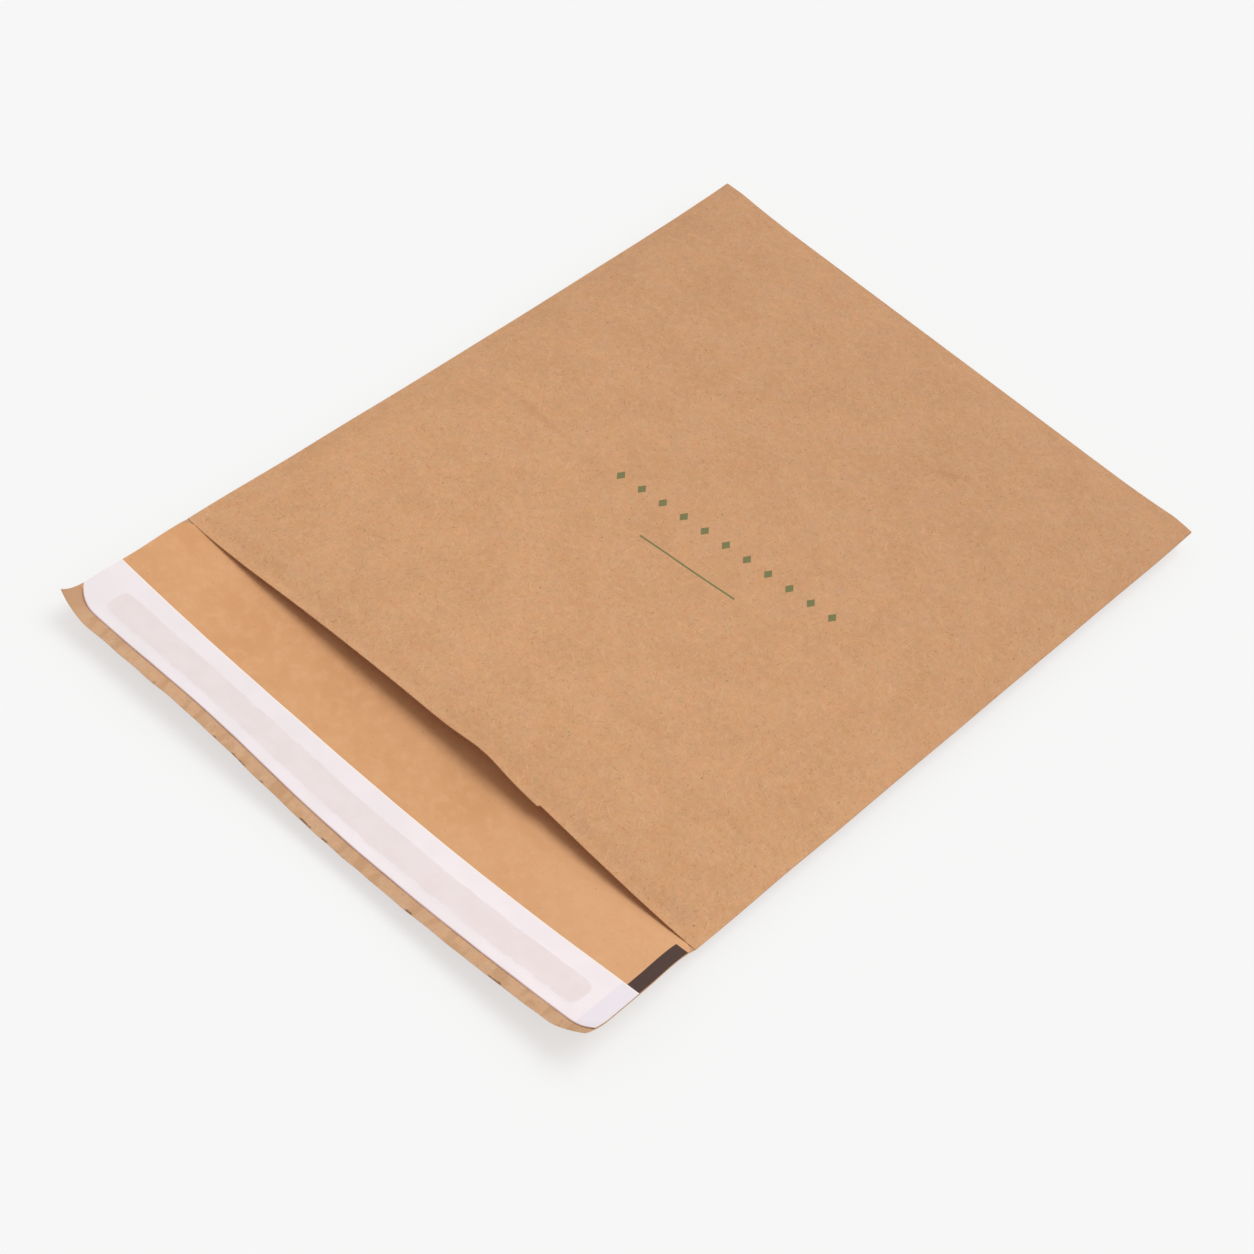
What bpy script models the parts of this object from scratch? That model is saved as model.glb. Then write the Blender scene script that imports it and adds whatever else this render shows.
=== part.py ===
"""Padded kraft paper envelope, lying flat with its flap open.

Two kraft sheets are folded once at the closed end, with a soft sheet between them. The outer sheet
and the inner sheet are each glued into a pouch along the sides. Both run on past the mouth as the
flap, which carries a band of glue under a paper strip that peels off.

Units are metres, +Z is up. The origin is at the middle of the envelope's base. X runs across the
envelope and Y runs from the flap towards the closed end.
"""
import math

import bpy
import bmesh
from mathutils import Vector

# Size of the made-up envelope
WIDTH = 0.216
POUCH_LENGTH = 0.276

# Stretches of the flap from the mouth outwards: bare lining, paper strip over the glue, bare tail
FLAP_FACE = 0.0300
LINER_ABOVE_BAND = 0.0066
BAND_WIDTH = 0.0098
LINER_BELOW_BAND = 0.0058
TAIL = 0.0048

# Sheet thicknesses, and the clearance between sheets that lie on each other
OUTER_PLY = 0.00025
INNER_PLY = 0.00025
PADDING = 0.0010
PADDING_PRESSED = 0.0004
GAP = 0.0003

# Margins in from the pouch's edges: the glued seam, the padding's cut edge, and its full thickness
SEAM = 0.003
PADDING_MARGIN = 0.008
PADDING_RAMP = 0.012

# Height left open inside the pouch, and how far in from each edge it is reached
POCKET = 0.0054
POCKET_SIDE_REACH = 0.050
POCKET_END_REACH = 0.060
POCKET_MOUTH_REACH = 0.055
POCKET_STEEPNESS = 2.5

# Gape of the mouth: a broad arch with one sharper hump right of the middle
MOUTH_RISE = 0.0055
MOUTH_ARCH_POWER = 1.5
MOUTH_ARCH_SHIFT = 0.003
MOUTH_HUMP = 0.0021
MOUTH_HUMP_AT = 0.019
MOUTH_HUMP_SPREAD = 0.011

# How far the back leaves the table along the pouch's edges, and the left side's pull inwards
EDGE_LIFT = 0.0018
EDGE_REACH = 0.035
END_LIFT = 0.0008
END_REACH = 0.030
LEFT_PULL = 0.0010

# Curl of the open flap: each side lifts, the free edge waves and both corners turn up
CURL_LENGTH = 0.022
LEFT_CURL = 0.0036
LEFT_CURL_REACH = 0.074
RIGHT_CURL = 0.0070
RIGHT_CURL_REACH = 0.123
WAVE = 0.0037
WAVE_AT = -0.050
WAVE_SPREAD = 0.039
LEFT_CORNER = 0.0040
RIGHT_CORNER = 0.0050
CORNER_REACH = 0.0125

# What lies on the flap
LINER_THICKNESS = 0.00015
BAND_THICKNESS = 0.0003
BAND_SIDE_MARGIN = 0.0105
BAND_END_LENGTH = 0.006
BAND_END_SHARE = 0.45
BAND_END_ROW_SHARE = 0.3
STEP_LENGTH = 0.0015
LINING_UNDER_LINER = 0.001
FLAP_EDGE_MARGIN = 0.0004

# Mesh rows and columns
MIDDLE_COLUMNS = 16
BACK_ROWS = 8
FLAP_FACE_ROWS = 3
FOLD_ROWS = 6
LAST_BACK_ROW_SHARE = 0.6
FLAP_REACH_STEPS = 12

# Stations along the folded blank: the flap is below 0, then come the back, the fold and the front
MOUTH_OF_BACK = 0.0
FOLD_START = 1.0
FOLD_END = 2.0
MOUTH_OF_FRONT = 3.0
STATION_STEP = 0.002
COLUMN_STEP = 0.0005

HALF_WIDTH = WIDTH / 2
FULL_PADDING = PADDING_MARGIN + PADDING_RAMP
BAND_START = FLAP_FACE + LINER_ABOVE_BAND
BAND_END = BAND_START + BAND_WIDTH
LINER_END = BAND_END + LINER_BELOW_BAND
LINING_END = LINER_END - LINING_UNDER_LINER
FLAP_LENGTH = LINER_END + TAIL
FRAME_SHIFT = (POUCH_LENGTH - FLAP_LENGTH) / 2
MOUTH_ROWS = [0.0, SEAM, PADDING_MARGIN, FULL_PADDING]
COLLECTION_NAME = "padded_envelope"


def ramp(value, start, end):
    """Rise from 0 at start to 1 at end in a straight line."""
    return min(1.0, max(0.0, (value - start) / (end - start)))


def ease(value, start, end):
    """Rise from 0 at start to 1 at end with soft ends."""
    share = ramp(value, start, end)
    return share * share * (3 - 2 * share)


def dome(share):
    """Rise steeply from 0 and level off at 1."""
    return 1 - (1 - ramp(share, 0.0, 1.0)) ** POCKET_STEEPNESS


def hump(value, centre, spread):
    """Bell shape that is 1 at its centre."""
    return math.exp(-((value - centre) / spread) ** 2)


def mix(start, end, share):
    return start + (end - start) * share


def midway(start, end):
    return (start + end) / 2


def lift(distance, amount, reach):
    """Curl that starts at reach from an edge and is amount at the edge itself."""
    return amount * (1 - ramp(distance, 0.0, reach)) ** 2


def edge_distance(across):
    return HALF_WIDTH - abs(across)


def back_height(across, along):
    """Height of the underside of the back and the flap over the table."""
    beyond = max(0.0, -along)
    curled = 1 - (1 - ramp(beyond, 0.0, CURL_LENGTH)) ** 2
    from_left = HALF_WIDTH + across
    from_right = HALF_WIDTH - across
    left_reach = mix(EDGE_REACH, LEFT_CURL_REACH, curled)
    left = lift(from_left, mix(EDGE_LIFT, LEFT_CURL, curled), left_reach)
    right_reach = mix(EDGE_REACH, RIGHT_CURL_REACH, curled)
    right = lift(from_right, mix(EDGE_LIFT, RIGHT_CURL, curled), right_reach)
    end = lift(POUCH_LENGTH - along, END_LIFT, END_REACH)
    wave = WAVE * hump(across, WAVE_AT, WAVE_SPREAD) * ease(beyond, CURL_LENGTH, FLAP_LENGTH)
    from_free_edge = FLAP_LENGTH - beyond
    corners = lift(from_left + from_free_edge, LEFT_CORNER, CORNER_REACH)
    corners += lift(from_right + from_free_edge, RIGHT_CORNER, CORNER_REACH)
    return left + right + end + wave + corners


def padding_shares(across, along):
    """How far the padding is present, and how far it has its full thickness, both 0 to 1."""
    side = edge_distance(across)
    present = min(ramp(side, SEAM, PADDING_MARGIN), ramp(along, SEAM, PADDING_MARGIN))
    thick = min(ramp(side, PADDING_MARGIN, FULL_PADDING), ramp(along, PADDING_MARGIN, FULL_PADDING))
    thick = min(thick, ramp(POUCH_LENGTH - along, 0.0, PADDING_RAMP))
    return present, thick


def padding_room(across, along):
    """Depth that the padding and the clearance on one of its faces take up."""
    present, thick = padding_shares(across, along)
    return present * (GAP + PADDING_PRESSED) + thick * (PADDING - PADDING_PRESSED)


def wall_depth(across, along):
    """Depth of one whole wall, from the envelope's skin to the open pocket."""
    inner_sheet = ramp(edge_distance(across), 0.0, SEAM) * (GAP + INNER_PLY)
    return OUTER_PLY + inner_sheet + padding_room(across, along)


def pocket_height(across, along):
    """Open height between the two walls."""
    side = edge_distance(across) - SEAM
    side_share = dome(side / POCKET_SIDE_REACH)
    body = GAP + (POCKET - GAP) * side_share * dome((POUCH_LENGTH - along) / POCKET_END_REACH)
    arch_share = ramp(abs(across - MOUTH_ARCH_SHIFT) / (HALF_WIDTH - SEAM), 0.0, 1.0)
    mouth = GAP + MOUTH_RISE * (1 - arch_share ** 2) ** MOUTH_ARCH_POWER
    mouth += MOUTH_HUMP * hump(across, MOUTH_HUMP_AT, MOUTH_HUMP_SPREAD)
    return mix(mouth, body, ease(along, 0.0, POCKET_MOUTH_REACH))


def pouch_height(across, along):
    return 2 * wall_depth(across, along) + pocket_height(across, along)


def flap_reach(across, beyond):
    """Level distance covered by a stretch of flap, shorter than the paper where it curls."""
    stretch = beyond / FLAP_REACH_STEPS
    level = 0.0
    for step in range(FLAP_REACH_STEPS):
        near = back_height(across, -step * stretch)
        far = back_height(across, -(step + 1) * stretch)
        level += math.copysign(math.sqrt(max(stretch ** 2 - (far - near) ** 2, 0.0)), stretch)
    return level


def skin(across, station):
    """Point on the envelope's outer skin, for a place across the blank and a station along it."""
    pulled = across + LEFT_PULL * (0.5 - across / WIDTH) * math.sin(
        math.pi * ramp(min(station, MOUTH_OF_FRONT - station), MOUTH_OF_BACK, FOLD_START))
    if station <= MOUTH_OF_BACK:
        beyond = -station * FLAP_LENGTH
        return Vector((across, -flap_reach(across, beyond), back_height(across, -beyond)))
    radius = pouch_height(across, POUCH_LENGTH) / 2
    reach = POUCH_LENGTH - radius
    if station <= FOLD_START:
        along = station * reach
        return Vector((pulled, along, back_height(across, along)))
    if station < FOLD_END:
        turn = (station - midway(FOLD_START, FOLD_END)) * math.pi
        centre = back_height(across, reach) + radius
        return Vector((pulled, reach + radius * math.cos(turn), centre + radius * math.sin(turn)))
    share = MOUTH_OF_FRONT - station
    height = back_height(across, share * reach) + pouch_height(across, share * POUCH_LENGTH)
    return Vector((pulled, share * reach, height))


def sheet_point(across, station, depth):
    """Point at a depth under the skin, measured square to it and towards the inside."""
    here = skin(across, station)
    sideways = skin(across + COLUMN_STEP, station) - skin(across - COLUMN_STEP, station)
    onwards = skin(across, station + STATION_STEP) - skin(across, station - STATION_STEP)
    inwards = sideways.cross(onwards).normalized()
    return here + inwards * depth - Vector((0.0, FRAME_SHIFT, 0.0))


def length_along(station):
    """Distance from the mouth, negative on the flap."""
    if station <= MOUTH_OF_BACK:
        return station * FLAP_LENGTH
    return POUCH_LENGTH * ramp(min(station, MOUTH_OF_FRONT - station), MOUTH_OF_BACK, FOLD_START)


def inner_sheet_depth(across, station):
    """Depth of the inner sheet's outer face, under the outer sheet and the padding."""
    return OUTER_PLY + GAP + padding_room(across, length_along(station))


def flap_face_depth(across, station):
    """Depth of what is stuck on the flap's inner face."""
    return OUTER_PLY + GAP + INNER_PLY + GAP


def liner_depth(across, station):
    """Depth of the paper strip, which steps up over the glue band."""
    beyond = -length_along(station)
    rise = ramp(beyond, BAND_START - STEP_LENGTH, BAND_START)
    fall = ramp(beyond, BAND_END, BAND_END + STEP_LENGTH)
    return flap_face_depth(across, station) + (rise - fall) * (BAND_THICKNESS + GAP)


def spread(start, end, count):
    """Evenly spaced values from start to end."""
    return [mix(start, end, step / count) for step in range(count + 1)]


def side_columns(margins):
    """Places across the blank: the given distances in from each edge, and even ones between."""
    outermost_first = sorted(margins) + [FULL_PADDING]
    left = [margin - HALF_WIDTH for margin in outermost_first]
    right = [HALF_WIDTH - margin for margin in reversed(outermost_first)]
    return left + spread(left[-1], right[0], MIDDLE_COLUMNS)[1:-1] + right


def flap_stations(nearest, farthest):
    """Stations on the flap from the free edge to the mouth, which every sheet on it shares."""
    rows = spread(2 * SEAM, FLAP_FACE, FLAP_FACE_ROWS)[:-1]
    rows += [FLAP_FACE, BAND_START - STEP_LENGTH, BAND_START, midway(BAND_START, BAND_END), BAND_END]
    rows += [BAND_END + STEP_LENGTH, midway(BAND_END + STEP_LENGTH, LINING_END), LINING_END]
    rows += [LINER_END, midway(LINER_END, FLAP_LENGTH), FLAP_LENGTH]
    return [-row / FLAP_LENGTH for row in reversed(rows) if nearest <= row <= farthest]


def pouch_stations(mouth_rows):
    """Stations round the pouch, with rows at the given distances from the mouth."""
    near = [row / POUCH_LENGTH for row in mouth_rows]
    far = 1 - PADDING_RAMP / POUCH_LENGTH
    last = mix(far, FOLD_START, LAST_BACK_ROW_SHARE)
    back = near + spread(near[-1], far, BACK_ROWS)[1:] + [last, FOLD_START]
    fold = spread(FOLD_START, FOLD_END, FOLD_ROWS)[1:-1]
    front = [MOUTH_OF_FRONT - station for station in reversed(back)]
    return back + fold + front


def bent_sheet(columns, stations, depth, place):
    """Flat grid laid on the folded blank. Returns the mesh and its vertices by column and row."""
    mesh = bmesh.new()
    last_column = len(columns) - 1
    last_row = len(stations) - 1
    bmesh.ops.create_grid(mesh, x_segments=last_column, y_segments=last_row, size=1.0)
    grid = {}
    for vertex in mesh.verts:
        column = round((vertex.co.x + 1) / 2 * last_column)
        row = round((vertex.co.y + 1) / 2 * last_row)
        grid[column, row] = vertex
    for (column, row), vertex in grid.items():
        across, station = place(columns[column], stations[row])
        vertex.co = sheet_point(across, station, depth(across, station))
    return mesh, grid


def close_sides(mesh, grid, columns, stations):
    """Join the back to the front along both sides, as the glued seams do."""
    rows = range(len(stations))
    for column in (0, len(columns) - 1):
        chains = []
        for row in rows[:-1]:
            on_back = MOUTH_OF_BACK <= stations[row] and stations[row + 1] <= FOLD_START
            on_front = stations[row] >= FOLD_END
            if on_back or on_front:
                chains.append(mesh.edges.get((grid[column, row], grid[column, row + 1])))
        bmesh.ops.bridge_loops(mesh, edges=chains)
        fold_end = [grid[column, row] for row in rows if FOLD_START <= stations[row] <= FOLD_END]
        bmesh.ops.contextual_create(mesh, geom=fold_end)


def face_outwards(mesh, grid, columns):
    """Turn every face away from the pocket, judged by one face of the back."""
    bmesh.ops.recalc_face_normals(mesh, faces=mesh.faces[:])
    middle = len(columns) // 2
    sample = grid[middle, 0].link_faces[0]
    if sample.normal.z > 0:
        bmesh.ops.reverse_faces(mesh, faces=mesh.faces[:])


def paper_material(name, colour, roughness):
    material = bpy.data.materials.new(name)
    material.use_nodes = True
    shader = material.node_tree.nodes["Principled BSDF"]
    shader.inputs["Base Color"].default_value = (*colour, 1.0)
    shader.inputs["Roughness"].default_value = roughness
    shader.inputs["Metallic"].default_value = 0.0
    material.diffuse_color = (*colour, 1.0)
    return material


def sheet_object(name, mesh, thickness, material, collection):
    """Object of a bent sheet, thickened from its outer face towards the pocket."""
    data = bpy.data.meshes.new(name)
    mesh.to_mesh(data)
    mesh.free()
    data.materials.append(material)
    thing = bpy.data.objects.new(name, data)
    collection.objects.link(thing)
    solid = thing.modifiers.new("thickness", "SOLIDIFY")
    solid.thickness = thickness
    solid.offset = -1.0
    solid.use_even_offset = True
    return thing


def straight_place(across, station):
    return across, station


def build_outer_kraft_ply(collection):
    """Outer sheet: flap, back, fold and front in one piece, with its side seams closed."""
    columns = side_columns([0.0, SEAM, PADDING_MARGIN, midway(PADDING_MARGIN, FULL_PADDING)])
    stations = flap_stations(0.0, FLAP_LENGTH) + pouch_stations(MOUTH_ROWS)
    mesh, grid = bent_sheet(columns, stations, lambda across, station: 0.0, straight_place)
    close_sides(mesh, grid, columns, stations)
    face_outwards(mesh, grid, columns)
    kraft = paper_material("outer_kraft", (0.60, 0.33, 0.17), 0.85)
    return sheet_object("outer_kraft_ply", mesh, OUTER_PLY, kraft, collection)


def inner_place(across, station):
    """The inner sheet ends at the seams in the pouch and widens to the flap's full width."""
    widened = ramp(-length_along(station), 0.0, 2 * SEAM)
    near_edge = ramp(abs(across), HALF_WIDTH - PADDING_MARGIN, HALF_WIDTH - SEAM)
    shift = widened * near_edge * (SEAM - FLAP_EDGE_MARGIN)
    return across + math.copysign(shift, across), station


def build_inner_kraft_ply(collection):
    """Inner sheet: the pouch's smooth lining, run on over the flap to under the paper strip."""
    shift_share = (SEAM - FLAP_EDGE_MARGIN) / (PADDING_MARGIN - FLAP_EDGE_MARGIN)
    second = mix(SEAM, PADDING_MARGIN, shift_share)
    columns = side_columns([SEAM, second, PADDING_MARGIN, midway(PADDING_MARGIN, FULL_PADDING)])
    stations = flap_stations(0.0, LINING_END) + pouch_stations(MOUTH_ROWS)
    mesh, grid = bent_sheet(columns, stations, inner_sheet_depth, inner_place)
    close_sides(mesh, grid, columns, stations)
    face_outwards(mesh, grid, columns)
    kraft = paper_material("inner_kraft", (0.70, 0.37, 0.18), 0.75)
    return sheet_object("inner_kraft_ply", mesh, INNER_PLY, kraft, collection)


def build_padding_sheet(collection):
    """Soft sheet between the two, folded once and pressed thin along its edges and at the fold."""
    columns = side_columns([PADDING_MARGIN, midway(PADDING_MARGIN, FULL_PADDING)])
    stations = pouch_stations([PADDING_MARGIN, FULL_PADDING])
    mesh, grid = bent_sheet(columns, stations, lambda across, station: OUTER_PLY + GAP, straight_place)
    face_outwards(mesh, grid, columns)
    mesh.verts.index_update()
    weights = {}
    for (column, row), vertex in grid.items():
        weights[vertex.index] = padding_shares(columns[column], length_along(stations[row]))[1]
    fibre = paper_material("recycled_fibre", (0.42, 0.38, 0.34), 0.95)
    pad = sheet_object("padding_sheet", mesh, PADDING, fibre, collection)
    full = pad.vertex_groups.new(name="full_thickness")
    for index, weight in weights.items():
        full.add([index], weight, "REPLACE")
    solid = pad.modifiers["thickness"]
    solid.vertex_group = full.name
    solid.thickness_vertex_group = PADDING_PRESSED / PADDING
    return pad


def band_place(across, station):
    """Narrow the glue band towards its two ends, which are rounded."""
    middle = -midway(BAND_START, BAND_END) / FLAP_LENGTH
    to_end = HALF_WIDTH - BAND_SIDE_MARGIN - abs(across)
    share = 1 - ramp(to_end, 0.0, BAND_END_LENGTH)
    return across, middle + (station - middle) * mix(BAND_END_SHARE, 1.0, math.sqrt(1 - share ** 2))


def build_adhesive_strip(collection):
    """Band of pressure-sensitive glue laid on the flap's inner face."""
    round_end = BAND_SIDE_MARGIN + BAND_END_LENGTH
    within_end = mix(BAND_SIDE_MARGIN, round_end, BAND_END_ROW_SHARE)
    columns = side_columns([BAND_SIDE_MARGIN, within_end, round_end])
    mesh, grid = bent_sheet(columns, flap_stations(BAND_START, BAND_END), flap_face_depth, band_place)
    face_outwards(mesh, grid, columns)
    glue = paper_material("hot_melt_glue", (0.62, 0.50, 0.34), 0.35)
    return sheet_object("adhesive_strip", mesh, BAND_THICKNESS, glue, collection)


def build_release_liner(collection):
    """Thin paper strip over the glue band, as wide as the flap."""
    columns = side_columns([FLAP_EDGE_MARGIN, SEAM, PADDING_MARGIN, midway(PADDING_MARGIN, FULL_PADDING)])
    mesh, grid = bent_sheet(columns, flap_stations(FLAP_FACE, LINER_END), liner_depth, straight_place)
    face_outwards(mesh, grid, columns)
    paper = paper_material("release_paper", (0.86, 0.80, 0.82), 0.45)
    return sheet_object("release_liner", mesh, LINER_THICKNESS, paper, collection)


def clear_scene():
    for thing in list(bpy.data.objects):
        bpy.data.objects.remove(thing, do_unlink=True)


def main():
    clear_scene()
    collection = bpy.data.collections.new(COLLECTION_NAME)
    bpy.context.scene.collection.children.link(collection)
    build_outer_kraft_ply(collection)
    build_padding_sheet(collection)
    build_inner_kraft_ply(collection)
    build_adhesive_strip(collection)
    build_release_liner(collection)


main()
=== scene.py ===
"""Finished look of a padded kraft envelope that lies on its back with the flap open.

Each sheet is laid out on the unfolded blank and bent into place by one function of its place on
the blank and its depth under the outer skin, as the solids are. Lengths are in metres, in the
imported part's frame: X across the mouth, Y from the flap towards the closed end, Z up.
"""
import math

import bpy
import numpy as np
from mathutils import Matrix, Vector, noise


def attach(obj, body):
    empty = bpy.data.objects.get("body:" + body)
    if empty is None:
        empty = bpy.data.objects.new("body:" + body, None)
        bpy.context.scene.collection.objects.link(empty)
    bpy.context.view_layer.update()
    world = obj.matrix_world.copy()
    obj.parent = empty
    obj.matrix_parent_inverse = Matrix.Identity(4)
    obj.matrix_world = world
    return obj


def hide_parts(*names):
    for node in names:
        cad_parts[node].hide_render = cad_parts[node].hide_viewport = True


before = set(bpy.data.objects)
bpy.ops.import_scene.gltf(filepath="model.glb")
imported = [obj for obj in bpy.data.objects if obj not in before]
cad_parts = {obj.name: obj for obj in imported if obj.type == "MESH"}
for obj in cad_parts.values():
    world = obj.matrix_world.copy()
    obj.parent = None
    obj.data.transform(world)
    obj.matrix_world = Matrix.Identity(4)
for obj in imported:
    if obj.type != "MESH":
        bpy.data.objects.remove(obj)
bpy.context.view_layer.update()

BODY = "root"

# Size of the made-up envelope, as in the solids
WIDTH = 0.216
POUCH_LENGTH = 0.276

# Stretches of the flap from the mouth outwards: bare lining, paper strip over the glue, bare tail
FLAP_FACE = 0.0300
LINER_ABOVE_BAND = 0.0074
BAND_WIDTH = 0.0102
LINER_BELOW_BAND = 0.0046
TAIL = 0.0048

# Sheets: real paper thicknesses, which are finer than the solids', and the glue between them
OUTER_PLY = 0.00018
INNER_PLY = 0.00015
GLUE_LINE = 0.00002
LINER_THICKNESS = 0.00009
BAND_THICKNESS = 0.00016
PADDING = 0.0010
PADDING_PRESSED = 0.0004
PADDING_CLEARANCE = 0.0003

# Margins in from the pouch's edges
SEAM = 0.003
PADDING_MARGIN = 0.008
PADDING_RAMP = 0.012

# Height of the pouch: the solids' wall at its edge, seam and middle, and the pocket between walls
SOLID_PLY = 0.00025
SOLID_GAP = 0.0003
POCKET = 0.0054
POCKET_SIDE_REACH = 0.050
POCKET_END_REACH = 0.060
POCKET_MOUTH_REACH = 0.055
POCKET_STEEPNESS = 2.5
SEAM_CLOSING = 0.00042
SEAM_CLOSING_REACH = 0.006
SEAM_OPENING_REACH = 0.030
FOLD_TAKE_UP_LEFT = 0.62
FOLD_TAKE_UP_RIGHT = 0.14

# Gape of the mouth: a broad arch, one sharper hump, and both ends held down
MOUTH_RISE = 0.0055
MOUTH_ARCH_POWER = 1.5
MOUTH_ARCH_SHIFT = 0.003
MOUTH_HUMP = 0.0021
MOUTH_HUMP_AT = 0.019
MOUTH_HUMP_SPREAD = 0.011
MOUTH_LEFT_DROP = 0.0014
MOUTH_LEFT_DROP_REACH = 0.060
MOUTH_RIGHT_DROP = 0.0014
MOUTH_RIGHT_DROP_REACH = 0.044
MOUTH_DROP_DEPTH = 0.030
NICK_AT = 0.043
NICK_STEP = 0.0006
NICK_LENGTH = 0.0006
NICK_TAPER = 0.022
NICK_BULGE = 0.6

# How far the back leaves the table along the pouch's edges, and the left side's pull inwards
EDGE_LIFT = 0.0018
EDGE_REACH = 0.035
END_LIFT = 0.0008
END_REACH = 0.030
LEFT_PULL = 0.0010

# Curl of the open flap, and its slight skew to the right
CURL_LENGTH = 0.022
LEFT_CURL = 0.0036
LEFT_CURL_REACH = 0.074
RIGHT_CURL = 0.0070
RIGHT_CURL_REACH = 0.123
WAVE = 0.0037
WAVE_AT = -0.050
WAVE_SPREAD = 0.039
LEFT_CORNER = 0.0040
LEFT_CORNER_POWER = 2.0
RIGHT_CORNER = 0.0050
RIGHT_CORNER_POWER = 1.5
CORNER_REACH = 0.0125
FLAP_SKEW = 0.0010
FLAP_SKEW_LENGTH = 0.025

# Small unevenness of handled paper
PANEL_WAVE = 0.00030
PANEL_WAVE_SIZE = 0.055
PANEL_RIPPLE = 0.00008
PANEL_RIPPLE_SIZE = 0.017
PANEL_WAVE_MARGIN = 0.022
TAIL_CREASE = 0.00016
TAIL_CREASE_SIZE = 0.011
TAIL_CREASE_START = 0.046
TAIL_CREASE_STRETCH = 0.35
LINER_RIPPLE = 0.00006
LINER_RIPPLE_SIZE = 0.012
CUT_WOBBLE = 0.00014
CUT_WOBBLE_SIZE = 0.009
SIDE_WOBBLE = 0.00018
SIDE_WOBBLE_SIZE = 0.030

# Layers of the noise, one for each use
PANEL_LAYER = 1.0
CREASE_LAYER = 3.0
CUT_LAYER = 5.0
RIPPLE_LAYER = 8.0
SIDE_LAYER = 9.0
BAND_LAYER = 11.0
LINER_LAYER = 13.0

# Shallow dents in the front: place across it and from its mouth, half length and depth
FRONT_DENTS = [
    ((-0.069, 0.1225), 0.014, 0.00026),
    ((0.033, 0.2165), 0.006, 0.00018),
]
DENT_WIDTH = 0.0030

# What lies on the flap
BAND_SIDE_MARGIN = 0.0105
BAND_END_LENGTH = 0.006
BAND_END_SHARE = 0.45
BAND_RAGGED = 0.06
STEP_LENGTH = 0.0012
LINING_UNDER_LINER = 0.0016
FLAP_EDGE_MARGIN = 0.00025
LINER_TUCK = 0.0013
LEFT_ROUNDING = 0.0056
LEFT_ROUNDING_REACH = 0.0110
RIGHT_ROUNDING = 0.0012
RIGHT_ROUNDING_REACH = 0.0045

# Dark printed bar along the flap's right edge, and the plain marks on the front
BAR_INNER = 0.1031
BAR_OUTER = 0.1077
BAR_START = 0.0045
BAR_SHADOW_INNER = 0.1018
BAR_SHADOW_SOFT = 0.0002
PRINT_EDGE = 0.0001
PRINT_ANGLE = math.radians(6.0)
RULE_AT = (0.0092, 0.0012)
RULE_LENGTH = 0.0382
RULE_WIDTH = 0.00080
ROW_AT = (0.0110, 0.0195)
ROW_COUNT = 11
ROW_PITCH = 0.0086
ROW_HALF_WIDTH = 0.0016
ROW_HALF_HEIGHT = 0.0025

# Painted shade along two creases on the front: centre, angle, half length, half width and strength
FRONT_CREASE_SHADES = [
    ((-0.0690, 0.0131), math.radians(-2), 0.0175, 0.0026, 0.26),
    ((0.0385, 0.1105), math.radians(35), 0.0100, 0.0018, 0.30),
]

# Where the glue band shows through the paper strip
BAND_SWAY = 0.0015
BAND_ROUNDING = 0.0026
BAND_SOFTNESS = 0.00035

# Paper surfaces: roughness, gloss, height of the grain, and the tail's torn edge
KRAFT_ROUGHNESS = 0.88
PLAIN_GLOSS = 0.12
KRAFT_GRAIN = 0.00004
TEAR_DEPTH = 0.0013
TEAR_EDGE = (0.0001, -0.0004)

# Stretches across the blank over which painted light changes: painted shade at the tail's left corner,
# and the lining and strip painted lighter towards the right
TAIL_CORNER_SHADE = (-0.096, -0.104)
LINING_PAINTED_LIGHT = (0.02, 0.10)
STRIP_PAINTED_LIGHT = (-0.06, 0.09)

# Painted shade, darker towards the closed end, as a factor, which is full this far past the fold
PAINTED_SHADE_TONE = (0.900, 0.905, 0.935, 1.0)
PAINTED_SHADE_PAST_FOLD = 0.06

# Kraft pulp and fibres: steps from the base colour in 8-bit levels, and the shapes of fibres
PULP_LIGHTER = 15
PULP_DARKER = 16
FIBRE_DARKER = 28
CLOSE_SHARE = 0.8
FIBRE_LAYERS = 4
FIBRE_UNEVEN_TURN = 0.3
FIBRE_SHIFT = (3.7, 5.1)
FIBRE_WARP = 0.6
FIBRE_SOFTNESS = 0.16
SPECK_CORE = 0.3

# Slow drifts of the kraft's hue: cloud size, roughness, turn, shift, and the two factors
WARM = (1.017, 0.999, 0.970, 1.0)
COOL = (0.983, 1.001, 1.030, 1.0)
ROSE = (1.013, 0.979, 1.009, 1.0)
GREENISH = (0.987, 1.019, 0.990, 1.0)
HUE_DRIFTS = [
    (0.0075, 0.5, 0.4, (3.0, 1.0), WARM, COOL),
    (0.0030, 0.5, 2.0, (5.0, 2.0), ROSE, GREENISH),
    (0.0036, 0.6, 0.9, (8.0, 6.0), WARM, COOL),
]

# Floor, sky and lamp, with the colours of floor and sky in 8-bit levels
FLOOR_HALF = 4.0
FLOOR_DROP = 0.0050
FLOOR_GLOW = 0.68
FLOOR_LIT = (240, 250, 248)
FLOOR_SEEN = (250, 246, 246)
SKY_SEEN = (247, 247, 246)
SKY_STRENGTH = 0.56
LAMP_SHARE = 0.44
LAMP_ELEVATION = math.radians(72)
LAMP_AZIMUTH = math.radians(66)
LAMP_SOFTNESS = math.radians(44)

# Camera: its place, the directions of the picture's right and down, and its focal length
CAMERA_PLACE = Vector((0.3382, -0.6851, 0.7720))
CAMERA_RIGHT = Vector((0.73700, 0.63601, 0.22872))
CAMERA_DOWN = Vector((0.60174, -0.46334, -0.65055))
CAMERA_FOCAL_PIXELS = 3322.24
PICTURE_SIDE = 1254
SENSOR_WIDTH = 36.0

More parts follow.
